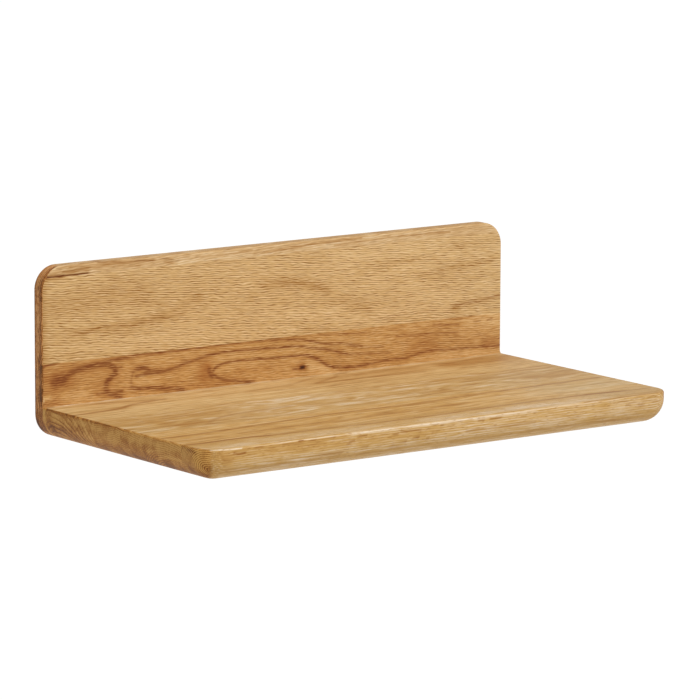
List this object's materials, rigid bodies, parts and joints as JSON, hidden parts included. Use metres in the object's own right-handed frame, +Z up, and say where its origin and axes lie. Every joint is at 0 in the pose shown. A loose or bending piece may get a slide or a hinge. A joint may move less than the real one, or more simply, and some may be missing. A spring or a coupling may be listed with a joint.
{
  "type": "wall shelf",
  "caption": "L-shaped solid oak wall shelf: a thick board with deeply rounded lower edges on an upright, round-cornered back panel, hung on keyhole plates let into the panel's back.",
  "frame": {"origin": "on the wall plane, at the back of the panel, halfway along the shelf and level with the board's top surface", "axes": "+X along the shelf to the right as seen from the room, +Y into the wall, +Z up"},
  "size_m": [0.5, 0.26, 0.15],
  "materials": {
    "panel_top_oak": "oiled",
    "panel_middle_oak": "oiled",
    "panel_lower_oak": "oiled",
    "rear_strip_oak": "oiled",
    "board_second_oak": "oiled",
    "board_middle_oak": "oiled",
    "board_fourth_oak": "oiled",
    "board_front_oak": "oiled",
    "beech_dowel": "planed",
    "zinc_plated_steel": "satin"
  },
  "bodies": {
    "root": {"panel_top_stave": "panel_top_oak", "panel_middle_stave": "panel_middle_oak", "panel_lower_stave": "panel_lower_oak", "board_rear_strip": "rear_strip_oak", "board_second_stave": "board_second_oak", "board_middle_stave": "board_middle_oak", "board_fourth_stave": "board_fourth_oak", "board_front_stave": "board_front_oak", "joining_screw_1": "zinc_plated_steel", "joining_screw_2": "zinc_plated_steel", "joining_screw_3": "zinc_plated_steel", "joining_screw_4": "zinc_plated_steel", "dowel_1": "beech_dowel", "dowel_2": "beech_dowel", "dowel_3": "beech_dowel", "keyhole_plate_left": "zinc_plated_steel", "keyhole_plate_right": "zinc_plated_steel", "plate_screw_left_upper": "zinc_plated_steel", "plate_screw_left_lower": "zinc_plated_steel", "plate_screw_right_upper": "zinc_plated_steel", "plate_screw_right_lower": "zinc_plated_steel"}
  },
  "joints": []
}
